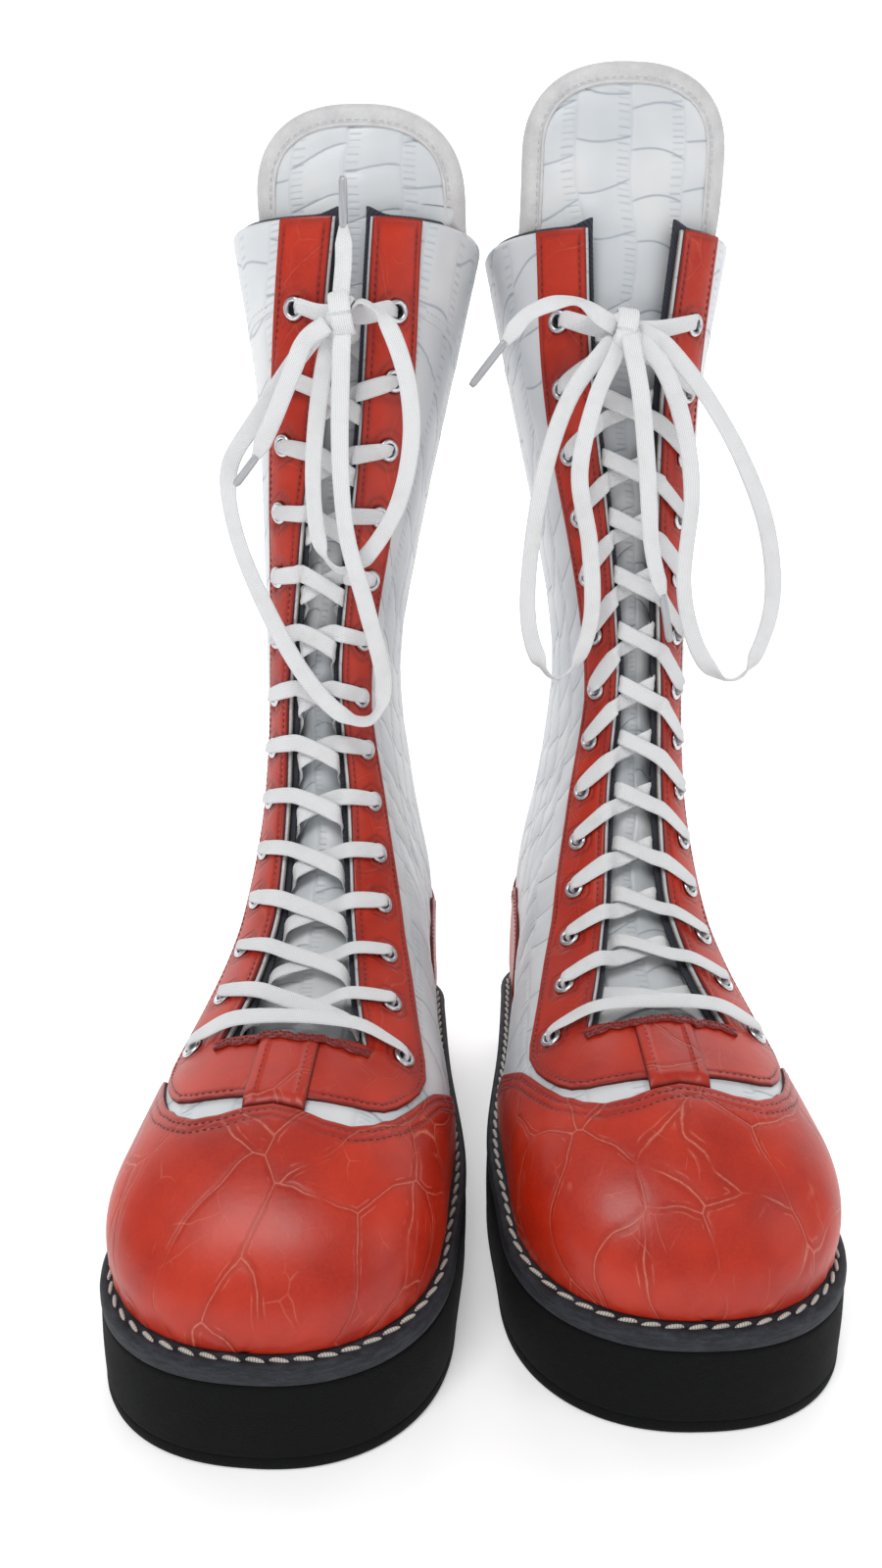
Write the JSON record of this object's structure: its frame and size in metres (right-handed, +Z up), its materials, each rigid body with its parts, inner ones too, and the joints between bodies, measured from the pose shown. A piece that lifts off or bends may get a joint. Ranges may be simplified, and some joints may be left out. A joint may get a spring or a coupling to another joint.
{
  "type": "pair of lace-up ring boots",
  "caption": "Pair of tall lace-up leather ring boots with red toe and facings, white shaft and tongue, and thick black platform soles.",
  "frame": {"origin": "on the floor, in the middle of the pair's footprint", "axes": "+Z up; the toes point to -Y; the wearer's right boot is on the -X side"},
  "size_m": [0.256, 0.3154, 0.4539],
  "materials": {
    "outsole_rubber": "matt",
    "platform_foam": "matt foam",
    "welt_rubber": "sanded",
    "cream_thread": "waxed thread",
    "cork": "matt",
    "shank_steel": "satin",
    "board": "matt fibre board",
    "sock_cloth": "matt",
    "red_leather": "glossy, crackled",
    "white_leather": "satin, scale embossed",
    "stiffener": "matt",
    "lining_cloth": "matt",
    "binding_leather": "soft satin",
    "eyelet_metal": "polished nickel",
    "lace_cloth": "flat woven cotton",
    "aglet_plastic": "clear over cloth"
  },
  "bodies": {
    "right_boot": {"right_outsole": "outsole_rubber", "right_platform": "platform_foam", "right_welt": "welt_rubber", "right_welt_stitching": "cream_thread", "right_bottom_filler": "cork", "right_shank": "shank_steel", "right_insole_board": "board", "right_sock_liner": "sock_cloth", "right_vamp": "red_leather", "right_toe_puff": "stiffener", "right_quarter_lateral": "white_leather", "right_quarter_medial": "white_leather", "right_heel_counter": "red_leather", "right_heel_stiffener": "stiffener", "right_back_strip": "red_leather", "right_eyestay_lateral": "red_leather", "right_eyestay_medial": "red_leather", "right_throat_strap": "red_leather", "right_collar_band": "white_leather", "right_lining": "lining_cloth", "right_tongue": "white_leather", "right_eyelets_lateral": "eyelet_metal", "right_eyelets_medial": "eyelet_metal", "right_lace": "lace_cloth", "right_bow": "lace_cloth", "right_aglets": "aglet_plastic"},
    "right_tongue_flap": {"right_tongue_top": "white_leather", "right_tongue_binding": "binding_leather"},
    "left_boot": {"left_outsole": "outsole_rubber", "left_platform": "platform_foam", "left_welt": "welt_rubber", "left_welt_stitching": "cream_thread", "left_bottom_filler": "cork", "left_shank": "shank_steel", "left_insole_board": "board", "left_sock_liner": "sock_cloth", "left_vamp": "red_leather", "left_toe_puff": "stiffener", "left_quarter_lateral": "white_leather", "left_quarter_medial": "white_leather", "left_heel_counter": "red_leather", "left_heel_stiffener": "stiffener", "left_back_strip": "red_leather", "left_eyestay_lateral": "red_leather", "left_eyestay_medial": "red_leather", "left_throat_strap": "red_leather", "left_collar_band": "white_leather", "left_lining": "lining_cloth", "left_tongue": "white_leather", "left_eyelets_lateral": "eyelet_metal", "left_eyelets_medial": "eyelet_metal", "left_lace": "lace_cloth", "left_bow": "lace_cloth", "left_aglets": "aglet_plastic"},
    "left_tongue_flap": {"left_tongue_top": "white_leather", "left_tongue_binding": "binding_leather"}
  },
  "joints": [
    {"name": "left_boot_apart", "type": "slide", "parent": "right_boot", "child": "left_boot", "axis": [1, 0, 0], "range_m": [0, 0.15]},
    {"name": "right_tongue_fold", "type": "hinge", "parent": "right_boot", "child": "right_tongue_flap", "pos_m": [-0.05279, 0.02791, 0.396], "axis": [0.9969, -0.0785, 0], "range_deg": [-8, 40], "stiffness_Nm_per_rad": 0.06},
    {"name": "left_tongue_fold", "type": "hinge", "parent": "left_boot", "child": "left_tongue_flap", "pos_m": [0.05738, 0.04303, 0.396], "axis": [0.999, 0.0436, 0], "range_deg": [-8, 40], "stiffness_Nm_per_rad": 0.06}
  ]
}
